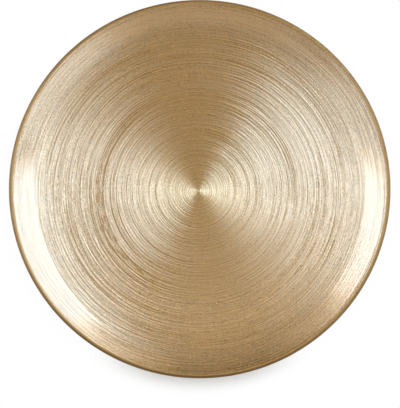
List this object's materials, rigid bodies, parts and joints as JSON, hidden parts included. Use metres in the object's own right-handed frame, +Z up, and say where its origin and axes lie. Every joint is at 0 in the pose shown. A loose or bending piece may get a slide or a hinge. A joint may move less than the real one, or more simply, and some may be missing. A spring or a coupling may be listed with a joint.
{
  "type": "glass dinner plate",
  "caption": "Round shallow coupe plate of clear glass over a brushed gold underside, with a gilded edge, for serving food or standing under a smaller plate.",
  "frame": {"origin": "middle of the flat base, on the surface that the plate stands on", "axes": "+Z up along the plate's axis of turning; X and Y across the plate, alike in every direction"},
  "size_m": [0.33, 0.33, 0.02],
  "materials": {
    "clear_glass": "clear soda-lime glass, smooth on both faces",
    "brushed_gold": "metallic gold lacquer brushed in rings",
    "back_lacquer": "satin bronze-gold protective lacquer",
    "edge_gold": "deep gold metallic lacquer, lightly polished"
  },
  "bodies": {
    "root": {"glass_body": "clear_glass", "gold_coat": "brushed_gold", "back_lacquer": "back_lacquer", "edge_gilding": "edge_gold"}
  },
  "joints": []
}
